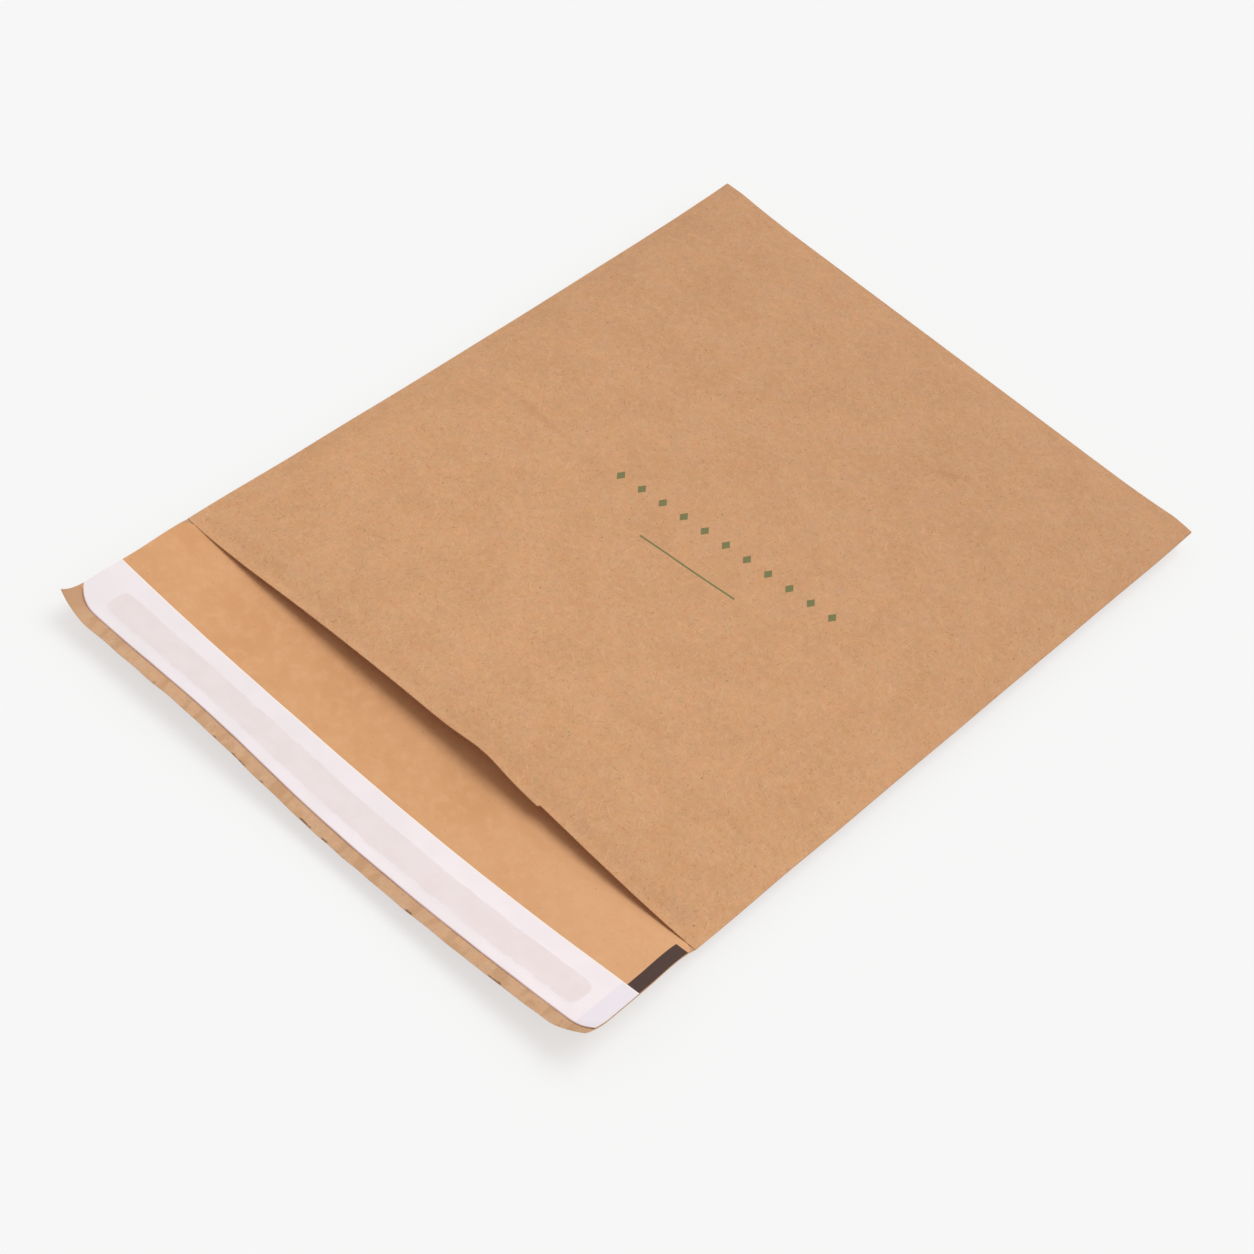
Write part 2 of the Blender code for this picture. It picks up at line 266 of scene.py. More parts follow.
# Mesh spacing
COLUMN_SPACING = 0.0019
EDGE_SPACING = 0.0007
EDGE_BAND = 0.0056
NICK_SPACING = 0.0003
TAIL_SPACING = 0.0006
FLAP_SPACING = 0.0014
FRONT_SPACING = 0.0021
BACK_SPACING = 0.0046
MOUTH_SPACING = 0.0010
MOUTH_BAND = 0.016
PADDING_SPACING = 0.004
BAND_SPACING = 0.0016
LINER_SPACING = 0.0005
FOLD_ROWS = 12
SHARP_ANGLE = math.radians(50)

# Stations along the folded blank: the flap is below 0, then come the back, the fold and the front
MOUTH_OF_BACK = 0.0
FOLD_START = 1.0
FOLD_END = 2.0
MOUTH_OF_FRONT = 3.0
NICK_STATIONS = 0.01
STATION_STEP = 0.002
COLUMN_STEP = 0.0005
FLAP_REACH_STEPS = 12
FOLD_ALLOWANCE = 0.002
BLANK_MAP = "blank"
CUT_MAP = "before_cutting"

# Sizes and places worked out from those above
HALF_WIDTH = WIDTH / 2
FULL_PADDING = PADDING_MARGIN + PADDING_RAMP
BAND_START = FLAP_FACE + LINER_ABOVE_BAND
BAND_END = BAND_START + BAND_WIDTH
LINER_END = BAND_END + LINER_BELOW_BAND
LINING_END = LINER_END - LINING_UNDER_LINER
FLAP_LENGTH = LINER_END + TAIL
FRAME_SHIFT = (POUCH_LENGTH - FLAP_LENGTH) / 2
FLAP_FACE_DEPTH = OUTER_PLY + GLUE_LINE + INNER_PLY + GLUE_LINE
PADDING_DEPTH = OUTER_PLY + 3 * GLUE_LINE
SAME_COLUMN = EDGE_SPACING * 0.2

# Where two painted lines start and end along the paper strip: painted shade at its free edge and a
# painted highlight at the lining
EDGE_SHADE_SPAN = (-LINER_END + 0.0006, -LINER_END + 0.0002)
EDGE_HIGHLIGHT_SPAN = (-FLAP_FACE - 0.0007, -FLAP_FACE - 0.0002)


def ramp(value, start, end):
    """Rise from 0 at start to 1 at end in a straight line."""
    return np.clip((value - start) / (end - start), 0.0, 1.0)


def ease(value, start, end):
    """Rise from 0 at start to 1 at end with soft ends."""
    share = ramp(value, start, end)
    return share * share * (3 - 2 * share)


def dome(share):
    """Rise steeply from 0 and level off at 1."""
    return 1 - (1 - ramp(share, 0.0, 1.0)) ** POCKET_STEEPNESS


def hump(value, centre, spread):
    """Bell shape that is 1 at its centre."""
    return np.exp(-((value - centre) / spread) ** 2)


def mix(start, end, share):
    """Value on the way from start to end."""
    return start + (end - start) * share


def midway(start, end):
    """Value halfway between two others."""
    return (start + end) / 2


def lift(distance, amount, reach, power=2.0):
    """Curl that starts at reach from an edge and is amount at the edge itself."""
    return amount * (1 - ramp(distance, 0.0, reach)) ** power


def unevenness(across, along, size, layer):
    """Smooth noise from about -1 to 1 over the blank, with blobs of the given size."""
    across, along = np.broadcast_arrays(across, along)
    places = zip((across / size).ravel(), (along / size).ravel())
    values = [noise.noise(Vector((x, y, layer))) for x, y in places]
    return 2 * np.array(values).reshape(across.shape)


def creases(across, along, size, layer):
    """Noise folded back on itself, so that it meets in straight ridges, 0 to 1."""
    return 1 - np.abs(unevenness(across, along, size, layer))


def back_height(across, along):
    """Height of the underside of the back and the flap over the table."""
    beyond = np.maximum(0.0, -along)
    curled = 1 - (1 - ramp(beyond, 0.0, CURL_LENGTH)) ** 2
    from_left = HALF_WIDTH + across
    from_right = HALF_WIDTH - across
    left_reach = mix(EDGE_REACH, LEFT_CURL_REACH, curled)
    left = lift(from_left, mix(EDGE_LIFT, LEFT_CURL, curled), left_reach)
    right_reach = mix(EDGE_REACH, RIGHT_CURL_REACH, curled)
    right = lift(from_right, mix(EDGE_LIFT, RIGHT_CURL, curled), right_reach)
    end = lift(POUCH_LENGTH - along, END_LIFT, END_REACH)
    wave = WAVE * hump(across, WAVE_AT, WAVE_SPREAD) * ease(beyond, CURL_LENGTH, FLAP_LENGTH)
    from_free_edge = FLAP_LENGTH - beyond
    corners = lift(from_left + from_free_edge, LEFT_CORNER, CORNER_REACH, LEFT_CORNER_POWER)
    corners += lift(from_right + from_free_edge, RIGHT_CORNER, CORNER_REACH, RIGHT_CORNER_POWER)
    return left + right + end + wave + corners


def padding_shares(across, along):
    """How far the padding is present, and how far it has its full thickness, both 0 to 1."""
    side = HALF_WIDTH - np.abs(across)
    present = np.minimum(ramp(side, SEAM, PADDING_MARGIN), ramp(along, SEAM, PADDING_MARGIN))
    from_side = ramp(side, PADDING_MARGIN, FULL_PADDING)
    from_mouth = ramp(along, PADDING_MARGIN, FULL_PADDING)
    from_fold = ramp(POUCH_LENGTH - along, 0.0, PADDING_RAMP)
    return present, np.minimum(np.minimum(from_side, from_mouth), from_fold)


def padding_room(across, along):
    """Depth that the padding and the clearance on one of its faces take up."""
    present, thick = padding_shares(across, along)
    return present * (PADDING_CLEARANCE + PADDING_PRESSED) + thick * (PADDING - PADDING_PRESSED)


def pocket_height(across, along):
    """Open height between the two walls."""
    side = HALF_WIDTH - np.abs(across) - SEAM
    side_share = dome(side / POCKET_SIDE_REACH)
    end_share = dome((POUCH_LENGTH - along) / POCKET_END_REACH)
    body = SOLID_GAP + (POCKET - SOLID_GAP) * side_share * end_share
    arch_share = ramp(np.abs(across - MOUTH_ARCH_SHIFT) / (HALF_WIDTH - SEAM), 0.0, 1.0)
    mouth = SOLID_GAP + MOUTH_RISE * (1 - arch_share ** 2) ** MOUTH_ARCH_POWER
    mouth += MOUTH_HUMP * hump(across, MOUTH_HUMP_AT, MOUTH_HUMP_SPREAD)
    return mix(mouth, body, ease(along, 0.0, POCKET_MOUTH_REACH))


def pouch_height(across, along):
    """Height of the pouch from skin to skin, closed up along the side seams."""
    side = HALF_WIDTH - np.abs(across)
    past_seam = ramp(side, 0.0, SEAM)
    wall = SOLID_PLY + past_seam * (SOLID_GAP + SOLID_PLY) + padding_room(across, along)
    from_fold = ramp(POUCH_LENGTH - along, 0.0, SEAM_OPENING_REACH)
    closing = lift(side, SEAM_CLOSING, SEAM_CLOSING_REACH) * from_fold
    drop = lift(HALF_WIDTH + across, MOUTH_LEFT_DROP, MOUTH_LEFT_DROP_REACH)
    drop += lift(HALF_WIDTH - across, MOUTH_RIGHT_DROP, MOUTH_RIGHT_DROP_REACH)
    drop *= past_seam * (1 - ease(along, 0.0, MOUTH_DROP_DEPTH))
    height = 2 * wall + pocket_height(across, along) - closing - drop
    return np.maximum(height, 2 * OUTER_PLY + GLUE_LINE)


def dent(across, along, place, half_length, depth):
    """Faint crease pressed into the front, which runs across it."""
    lengthwise = hump(across, place[0], half_length)
    return -depth * lengthwise * hump(along, place[1], DENT_WIDTH)


def front_waves(across, along):
    """Faint unevenness of the front, fading out at its edges."""
    side = HALF_WIDTH - np.abs(across)
    fade = ease(side, 0.0, PANEL_WAVE_MARGIN) * ease(along, 0.0, PANEL_WAVE_MARGIN)
    fade = fade * ease(POUCH_LENGTH - along, 0.0, PANEL_WAVE_MARGIN)
    broad = PANEL_WAVE * unevenness(across, along, PANEL_WAVE_SIZE, PANEL_LAYER)
    for place, half_length, depth in FRONT_DENTS:
        broad += dent(across, along, place, half_length, depth)
    ripple = PANEL_RIPPLE * unevenness(across, along, PANEL_RIPPLE_SIZE, RIPPLE_LAYER)
    return fade * (broad + ripple)


def tail_creases(across, beyond):
    """Short ridges of the handled tail, which cross it from the paper strip to the free edge."""
    grown = ease(beyond, TAIL_CREASE_START, FLAP_LENGTH)
    ridge = creases(across, beyond * TAIL_CREASE_STRETCH, TAIL_CREASE_SIZE, CREASE_LAYER) - 0.5
    return TAIL_CREASE * grown * ridge


def flap_reach(across, beyond):
    """Level distance covered by a stretch of flap, shorter than the paper where it curls."""
    stretch = beyond / FLAP_REACH_STEPS
    level = np.zeros_like(stretch)
    for step in range(FLAP_REACH_STEPS):
        near = back_height(across, -step * stretch)
        far = back_height(across, -(step + 1) * stretch)
        level += np.sqrt(np.maximum(stretch ** 2 - (far - near) ** 2, 0.0))
    return level


def skin(across, station):
    """Points on the envelope's outer skin, for places across the blank and stations along it."""
    share = ramp(np.minimum(station, MOUTH_OF_FRONT - station), MOUTH_OF_BACK, FOLD_START)
    pulled = across + LEFT_PULL * (0.5 - across / WIDTH) * np.sin(np.pi * share)
    beyond = np.maximum(-station, 0.0) * FLAP_LENGTH
    radius = pouch_height(across, POUCH_LENGTH) / 2
    take_up = mix(FOLD_TAKE_UP_LEFT, FOLD_TAKE_UP_RIGHT, ramp(across, -HALF_WIDTH, HALF_WIDTH))
    reach = POUCH_LENGTH - radius - take_up * (radius - SOLID_PLY)
    flap_height = back_height(across, -beyond) + tail_creases(across, beyond)
    skewed = across + FLAP_SKEW * ease(beyond, 0.0, FLAP_SKEW_LENGTH)
    flap = np.stack([skewed, -flap_reach(across, beyond), flap_height], -1)
    along = share * reach
    low = back_height(across, along)
    back = np.stack([pulled, along, low], -1)
    turn = (np.clip(station, FOLD_START, FOLD_END) - midway(FOLD_START, FOLD_END)) * np.pi
    centre = back_height(across, reach) + radius
    fold = np.stack([pulled, reach + radius * np.cos(turn), centre + radius * np.sin(turn)], -1)
    from_mouth = share * POUCH_LENGTH
    rise = pouch_height(across, from_mouth) + front_waves(across, from_mouth)
    beyond_front = np.maximum(station - MOUTH_OF_FRONT, 0.0) * POUCH_LENGTH
    front = np.stack([pulled, along - beyond_front, low + rise], -1)
    lying = np.where((station <= MOUTH_OF_BACK)[..., None], flap, back)
    folded = np.where((station < FOLD_END)[..., None], fold, front)
    return np.where((station <= FOLD_START)[..., None], lying, folded)


def sheet_points(across, station, depth):
    """Points at a depth under the skin, measured square to it and towards the inside."""
    here = skin(across, station)
    sideways = skin(across + COLUMN_STEP, station) - skin(across - COLUMN_STEP, station)
    onwards = skin(across, station + STATION_STEP) - skin(across, station - STATION_STEP)
    inwards = np.cross(sideways, onwards)
    inwards /= np.linalg.norm(inwards, axis=-1, keepdims=True)
    return here + inwards * np.asarray(depth)[..., None] - np.array((0.0, FRAME_SHIFT, 0.0))


def length_along(station):
    """Distance from the mouth, negative on the flap."""
    inside = POUCH_LENGTH * ramp(np.minimum(station, MOUTH_OF_FRONT - station), MOUTH_OF_BACK, FOLD_START)
    return np.where(station <= MOUTH_OF_BACK, station * FLAP_LENGTH, inside)


def blank_length(station):
    """Distance along the unfolded sheet from the back's mouth, negative on the flap."""
    flap = np.minimum(station, MOUTH_OF_BACK) * FLAP_LENGTH
    back = ramp(station, MOUTH_OF_BACK, FOLD_START) * POUCH_LENGTH
    fold = ramp(station, FOLD_START, FOLD_END) * FOLD_ALLOWANCE
    front = ramp(station, FOLD_END, MOUTH_OF_FRONT) * POUCH_LENGTH
    return flap + back + fold + front


def stops(start, end, spacing):
    """Evenly spaced values from start to end, about a spacing apart."""
    count = max(1, round(abs(end - start) / spacing))
    return list(np.linspace(start, end, count + 1))


def without_twins(values):
    """Sorted values with no two closer than a hair."""
    kept = []
    for value in sorted(values):
        if not kept or value - kept[-1] > SAME_COLUMN:
            kept.append(value)
    return kept


def panel_columns(margin=0.0):
    """Places across the blank, closer together near both edges and round the mouth's nick."""
    edge = HALF_WIDTH - margin
    columns = stops(-edge + EDGE_BAND, edge - EDGE_BAND, COLUMN_SPACING)
    for side in (-1, 1):
        columns += [side * value for value in stops(edge - EDGE_BAND, edge, EDGE_SPACING)]
    columns += stops(NICK_AT - 2 * NICK_LENGTH, NICK_AT + 2 * NICK_LENGTH, NICK_SPACING)
    return np.array(without_twins(columns))


def flap_stations(nearest, farthest, spacing):
    """Stations on the flap from its far end towards the mouth."""
    rows = stops(nearest, farthest, spacing)
    return [-row / FLAP_LENGTH for row in reversed(rows)]


def pouch_stations(from_mouth=0.0):
    """Stations round the pouch from the back's mouth to the front's."""
    back = stops(from_mouth, MOUTH_BAND, 2 * MOUTH_SPACING)[:-1]
    back += stops(MOUTH_BAND, POUCH_LENGTH, BACK_SPACING)
    front = stops(from_mouth, MOUTH_BAND, MOUTH_SPACING)[:-1]
    front += stops(MOUTH_BAND, POUCH_LENGTH, FRONT_SPACING)
    fold = list(np.linspace(FOLD_START, FOLD_END, FOLD_ROWS + 1))[1:-1]
    on_front = [MOUTH_OF_FRONT - row / POUCH_LENGTH for row in reversed(front)]
    return [row / POUCH_LENGTH for row in back] + fold + on_front


def closed_faces(rows, count):
    """Faces of two grids of points, one inside the other, and of the rim between them."""
    ids = np.arange(rows * count).reshape(rows, count)
    quads = np.stack([ids[:-1, :-1], ids[1:, :-1], ids[1:, 1:], ids[:-1, 1:]], -1).reshape(-1, 4)
    around = np.concatenate([ids[0, :-1], ids[:-1, -1], ids[-1, :0:-1], ids[:0:-1, 0]])
    after = np.roll(around, -1)
    below = rows * count
    rim = np.stack([around, after, after + below, around + below], -1)
    return quads, quads[:, ::-1] + below, rim


def sheet_piece(name, columns, stations, depth, thickness, place, materials):
    """Closed solid of a bent sheet. Its outer face, inner face and rim take the three materials."""
    across, station = np.meshgrid(columns, np.array(stations))
    uncut = np.stack([across, blank_length(station)], -1).reshape(-1, 2)
    across, station = place(across, station)
    top = depth(across, station)
    outer = sheet_points(across, station, top)
    inner = sheet_points(across, station, top + thickness(across, station))
    points = np.concatenate([outer.reshape(-1, 3), inner.reshape(-1, 3)])
    faces = closed_faces(*across.shape)
    mesh = bpy.data.meshes.new(name)
    mesh.from_pydata(points, [], np.concatenate(faces))
    kinds = np.repeat([0, 1, 2], [len(kind) for kind in faces])
    mesh.polygons.foreach_set("material_index", np.minimum(kinds, len(materials) - 1))
    flat = np.stack([across, blank_length(station)], -1).reshape(-1, 2)
    corners = np.array([loop.vertex_index for loop in mesh.loops]) % len(flat)
    for map_name, places in ((BLANK_MAP, flat), (CUT_MAP, uncut)):
        layer = mesh.uv_layers.new(name=map_name)
        layer.uv.foreach_set("vector", places[corners].astype(np.float32).ravel())
    for material in materials:
        mesh.materials.append(material)
    mesh.shade_smooth()
    mesh.set_sharp_from_angle(angle=SHARP_ANGLE)
    mesh.validate()
    piece = bpy.data.objects.new(name, mesh)
    bpy.context.scene.collection.objects.link(piece)
    return piece


def constant(value):
    """Depth or thickness that is the same all over a sheet."""
    return lambda across, station: np.full(across.shape, value)


def outer_place(across, station):
    """The outer sheet's cut edges: the free edge wobbles a little and the front's mouth has a nick."""
    wobble = CUT_WOBBLE * unevenness(across, 0.0, CUT_WOBBLE_SIZE, CUT_LAYER)
    past = ramp(-station, LINER_END / FLAP_LENGTH, 1.0)
    station = station - past * wobble / FLAP_LENGTH
    return across + side_wobble(across, station), station + nick(across, station)


def side_wobble(across, station):
    """Faint unevenness of both cut sides, the same for the sheets that lie on each other."""
    near_edge = ramp(np.abs(across), HALF_WIDTH - EDGE_BAND, HALF_WIDTH)
    drift = unevenness(length_along(station), 0.0, SIDE_WOBBLE_SIZE, SIDE_LAYER)
    return -near_edge * SIDE_WOBBLE * (1 + drift) * np.sign(across) / 2


def nick(across, station):
    """Shift of the front's mouth edge: it steps back at the nick and returns to its line."""
    near_mouth = ramp(station, MOUTH_OF_FRONT - NICK_STATIONS, MOUTH_OF_FRONT)
    step = ramp(across, NICK_AT - NICK_LENGTH / 2, NICK_AT + NICK_LENGTH / 2)
    back = 1 - ramp(across, NICK_AT, NICK_AT + NICK_TAPER)
    bulge = ramp(across, NICK_AT - NICK_TAPER, NICK_AT) * (1 - step)
    return near_mouth * NICK_STEP * (NICK_BULGE * bulge - step * back) / POUCH_LENGTH


def inner_place(across, station):
    """The lining's edges: it ends at the seams in the pouch and widens to the flap's full width."""
    widened = ramp(-length_along(station), 0.0, SEAM)
    near_edge = ramp(np.abs(across), HALF_WIDTH - PADDING_MARGIN, HALF_WIDTH - SEAM)
    shift = widened * near_edge * (SEAM - FLAP_EDGE_MARGIN)
    return across + np.sign(across) * shift, station + nick(across, station) + rounding(across, station)


def inner_depth(across, station):
    """Depth of the lining, which lies deeper where there is padding between it and the outer sheet."""
    return OUTER_PLY + GLUE_LINE + padding_room(across, length_along(station))


def padding_thickness(across, station):
    """Thickness of the padding, pressed thin towards its edges."""
    return mix(PADDING_PRESSED, PADDING, padding_shares(across, length_along(station))[1])


def band_place(across, station):
    """Narrow the glue band towards its two rounded ends and make its edges uneven."""
    middle = -midway(BAND_START, BAND_END) / FLAP_LENGTH
    to_end = HALF_WIDTH - BAND_SIDE_MARGIN - np.abs(across)
    share = 1 - ramp(to_end, 0.0, BAND_END_LENGTH)
    ragged = 1 + BAND_RAGGED * unevenness(across, station, CUT_WOBBLE_SIZE, BAND_LAYER)
    width = mix(BAND_END_SHARE, 1.0, np.sqrt(1 - share ** 2)) * ragged
    return across, middle + (station - middle) * width


def rounding(across, station):
    """Shift towards the mouth that rounds off the paper strip's two lower corners."""
    share = ramp(-length_along(station), FLAP_FACE, LINER_END)
    left = lift(HALF_WIDTH + across, LEFT_ROUNDING, LEFT_ROUNDING_REACH)
    right = lift(HALF_WIDTH - across, RIGHT_ROUNDING, RIGHT_ROUNDING_REACH)
    return share * (left + right) / FLAP_LENGTH


def liner_place(across, station):
    """The paper strip's edges: a hair inside the flap's sides, with its lower corners rounded."""
    near_edge = ramp(np.abs(across), HALF_WIDTH - EDGE_BAND, HALF_WIDTH)
    inset = near_edge * CUT_WOBBLE
    placed = across - np.sign(across) * inset + side_wobble(across, station)
    return placed, station + rounding(across, station)


def liner_depth(across, station):
    """Depth of the paper strip, which steps up over the glue band and down to the tail."""
    beyond = -length_along(station)
    rise = ease(beyond, BAND_START - STEP_LENGTH, BAND_START)
    fall = ease(beyond, BAND_END, BAND_END + STEP_LENGTH)
    ends = ease(HALF_WIDTH - np.abs(across), BAND_SIDE_MARGIN - STEP_LENGTH, BAND_SIDE_MARGIN)
    tuck = ease(beyond, LINER_END - LINER_TUCK, LINER_END) * (INNER_PLY + GLUE_LINE)
    over_band = (rise - fall) * ends * (BAND_THICKNESS + GLUE_LINE)
    noisy = unevenness(across, station * FLAP_LENGTH, LINER_RIPPLE_SIZE, LINER_LAYER)
    return FLAP_FACE_DEPTH + GLUE_LINE + over_band - tuck + LINER_RIPPLE * (1 + noisy)


def linear(value):
    """Linear share of one 8-bit screen value."""
    share = value / 255
    if share <= 0.04045:
        return share / 12.92
    return ((share + 0.055) / 1.055) ** 2.4


def colour(red, green, blue):
    """Linear colour of an 8-bit screen colour."""
    return (linear(red), linear(green), linear(blue), 1.0)


def stepped(base, step):
    """Linear colour of an 8-bit colour moved by one step in red, green and blue alike."""
    return colour(*[value + step for value in base])


class Shading:
    """Builds one material's nodes. Values may be numbers, colours or other nodes' outputs."""

    def __init__(self, name, roughness, gloss=PLAIN_GLOSS):
        self.material = bpy.data.materials.new(name)
        self.material.use_nodes = True
        self.tree = self.material.node_tree
        self.shader = self.tree.nodes["Principled BSDF"]
        self.shader.inputs["Roughness"].default_value = roughness
        self.shader.inputs["Specular IOR Level"].default_value = gloss
        self.blank, self.across, self.along = self.places(BLANK_MAP)
        self.uncut_along = self.places(CUT_MAP)[2]

    def node(self, kind, inputs, **settings):
        """New node with its inputs linked or set, and its other settings."""
        made = self.tree.nodes.new(kind)
        for name, value in settings.items():
            setattr(made, name, value)
        for socket, value in inputs.items():
            if isinstance(value, bpy.types.NodeSocket):
                self.tree.links.new(value, made.inputs[socket])
            else:
                made.inputs[socket].default_value = value
        return made

    def places(self, map_name):
        """Places on one of the blank's maps, and their parts across and along it."""
        place = self.node("ShaderNodeUVMap", {}, uv_map=map_name).outputs["UV"]
        parts = self.node("ShaderNodeSeparateXYZ", {0: place})
        return place, parts.outputs["X"], parts.outputs["Y"]

    def math(self, operation, first, second=0.0):
        return self.node("ShaderNodeMath", {0: first, 1: second}, operation=operation).outputs[0]

    def times(self, first, second):
        return self.math("MULTIPLY", first, second)

    def plus(self, first, second):
        return self.math("ADD", first, second)

    def minus(self, first, second):
        return self.math("SUBTRACT", first, second)

    def unsigned(self, value):
        """Value without its minus sign."""
        return self.math("ABSOLUTE", value)

    def square(self, value):
        return self.math("POWER", value, 2.0)

    def spread(self, value, start, end, low=0.0, high=1.0):
        """Value remapped smoothly from start..end to low..high."""
        inputs = {"Value": value, "From Min": start, "From Max": end, "To Min": low, "To Max": high}
        return self.node("ShaderNodeMapRange", inputs, interpolation_type="SMOOTHSTEP").outputs[0]

    def blend(self, share, first, second, how="MIX"):
        """Colour that goes from the first to the second with the share."""
        inputs = {0: share, 6: first, 7: second}
        made = self.node("ShaderNodeMix", inputs, data_type="RGBA", blend_type=how)
        return made.outputs[2]

    def over(self, paint, mask, strength, top):
        """Paint with another colour over it where the mask is, at a strength from 0 to 1."""
        return self.blend(self.times(mask, strength), paint, top)

    def tint(self, paint, share, first, second):
        """Paint multiplied by a colour that goes from the first to the second."""
        return self.blend(1.0, paint, self.blend(share, first, second), "MULTIPLY")

    def placed(self, angle=0.0, stretch=(1.0, 1.0), shift=(0.0, 0.0)):
        """Blank coordinates turned, then scaled."""
        turned = self.node("ShaderNodeVectorRotate", {"Vector": self.blank, "Angle": angle})
        inputs = {"Vector": turned.outputs[0], "Location": (*shift, 0.0), "Scale": (*stretch, 1.0)}
        return self.node("ShaderNodeMapping", inputs).outputs[0]

    def cloud(self, size, detail=2.0, rough=0.5, at=None, warp=0.0):
        """Noise from 0 to 1 with blobs of the given size in metres."""
        inputs = {"Vector": at or self.blank, "Scale": 1.0 / size, "Detail": detail,
                  "Roughness": rough, "Distortion": warp}
        return self.node("ShaderNodeTexNoise", inputs, noise_dimensions="2D").outputs["Fac"]

    def patches(self, size, detail, rough, start, end, most=1.0, at=None):
        """Soft patches from 0 to most, where the noise goes from start to end."""
        return self.spread(self.cloud(size, detail, rough, at), start, end, 0.0, most)

    def fibres(self, angle, length, width, shift, threshold):
        """Sparse streaks at one angle, 0 between them and 1 at their middle."""
        at = self.placed(angle, (1.0, length / width), shift)
        streaks = self.cloud(length, 1.0, 0.5, at, FIBRE_WARP)
        return self.spread(streaks, threshold, threshold + FIBRE_SOFTNESS)

    def tangle(self, length, width, threshold, seed):
        """Streaks in several layers, each at an angle and a place of its own."""
        total = None
        for index in range(FIBRE_LAYERS):
            uneven = FIBRE_UNEVEN_TURN * math.sin(7 * (seed + index))
            angle = seed + index * math.pi / FIBRE_LAYERS + uneven
            shift = (seed + index * FIBRE_SHIFT[0], index * FIBRE_SHIFT[1])
            layer = self.fibres(angle, length, width, shift, threshold)
            total = layer if total is None else self.math("MAXIMUM", total, layer)
        return total

    def specks(self, cell, radius, chance, shift):
        """Small round specks, in a share of the cells."""
        at = self.placed(0.0, (1.0, 1.0), shift)
        inputs = {"Vector": at, "Scale": 1.0 / cell}
        dots = self.node("ShaderNodeTexVoronoi", inputs, voronoi_dimensions="2D")
        near = self.spread(dots.outputs["Distance"], radius / cell, SPECK_CORE * radius / cell)
        red = self.node("ShaderNodeSeparateColor", {0: dots.outputs["Color"]}).outputs[0]
        return self.times(near, self.math("LESS_THAN", red, chance))

    def bump(self, height, distance, strength):
        inputs = {"Height": height, "Distance": distance, "Strength": strength}
        return self.node("ShaderNodeBump", inputs).outputs[0]

    def finish(self, base, normal=None):
        """The finished material, with its colour and its bump in place."""
        self.tree.links.new(base, self.shader.inputs["Base Color"])
        if normal is not None:
            self.tree.links.new(normal, self.shader.inputs["Normal"])
        return self.material


def kraft(shading, base, mottle, fibre):
    """Colour and bump of brown kraft: cloudy pulp, light and dark fibres and dark specks."""
    light = stepped(base, PULP_LIGHTER)
    dark = stepped(base, -PULP_DARKER)
    darkest = stepped(base, -FIBRE_DARKER)
    paint = colour(*base)
    for size, rough, turn, shift, first, second in HUE_DRIFTS:
        at = shading.placed(turn, (1.0, 1.0), shift)
        share = shading.patches(size, 2.0, rough, 0.30, 0.70, at=at)
        paint = shading.tint(paint, share, first, second)
    broad = shading.patches(0.020, 3.0, 0.62, 0.30, 0.74, mottle)
    paint = shading.blend(broad, paint, dark)
    close = shading.patches(0.0034, 3.0, 0.7, 0.40, 0.75, mottle * CLOSE_SHARE, shading.placed(1.1))
    paint = shading.blend(close, paint, light)
    pale_fibres = shading.tangle(length=0.0050, width=0.00042, threshold=0.635, seed=1.3)
    paint = shading.over(paint, pale_fibres, fibre, light)
    dark_fibres = shading.tangle(length=0.0026, width=0.00042, threshold=0.66, seed=4.1)
    paint = shading.over(paint, dark_fibres, fibre, darkest)
    faint = shading.specks(cell=0.0052, radius=0.00042, chance=0.45, shift=(0.11, 0.07))
    paint = shading.over(paint, faint, 0.34, colour(140, 95, 62))
    strong = shading.specks(cell=0.017, radius=0.00048, chance=0.34, shift=(0.53, 0.21))
    paint = shading.over(paint, strong, 0.46, colour(112, 74, 44))
    grain = shading.plus(shading.cloud(0.0007, 2.0, 0.6), shading.times(pale_fibres, 0.5))
    return paint, grain


def inside_box(shading, at_x, at_y, half_x, half_y, soft):
    """1 inside a box round the middle of a turned frame, fading out over a soft edge."""
    in_x = shading.spread(shading.unsigned(at_x), half_x + soft, half_x - soft)
    in_y = shading.spread(shading.unsigned(at_y), half_y + soft, half_y - soft)
    return shading.times(in_x, in_y)


def front_frame(shading, centre, angle):
    """Distances along and across a line on the front, from its centre."""
    front_mouth = 2 * POUCH_LENGTH + FOLD_ALLOWANCE
    place_y = shading.minus(front_mouth - FRAME_SHIFT - centre[1], shading.along)
    place_x = shading.minus(shading.across, centre[0])
    cosine = math.cos(angle)
    sine = math.sin(angle)
    along_line = shading.plus(shading.times(place_x, cosine), shading.times(place_y, sine))
    across_line = shading.minus(shading.times(place_y, cosine), shading.times(place_x, sine))
    return along_line, across_line


def painted_crease_shade(shading, centre, angle, half_length, half_width):
    """Soft streak of painted shade on the front, 1 at its middle, where the paper was creased."""
    along_line, across_line = front_frame(shading, centre, angle)
    lengthwise = shading.square(shading.math("DIVIDE", along_line, half_length))
    crosswise = shading.square(shading.math("DIVIDE", across_line, half_width))
    ragged = shading.spread(shading.cloud(0.003), 0.2, 0.8, 0.6, 1.6)
    return shading.spread(shading.times(shading.plus(lengthwise, crosswise), ragged), 1.0, 0.0)


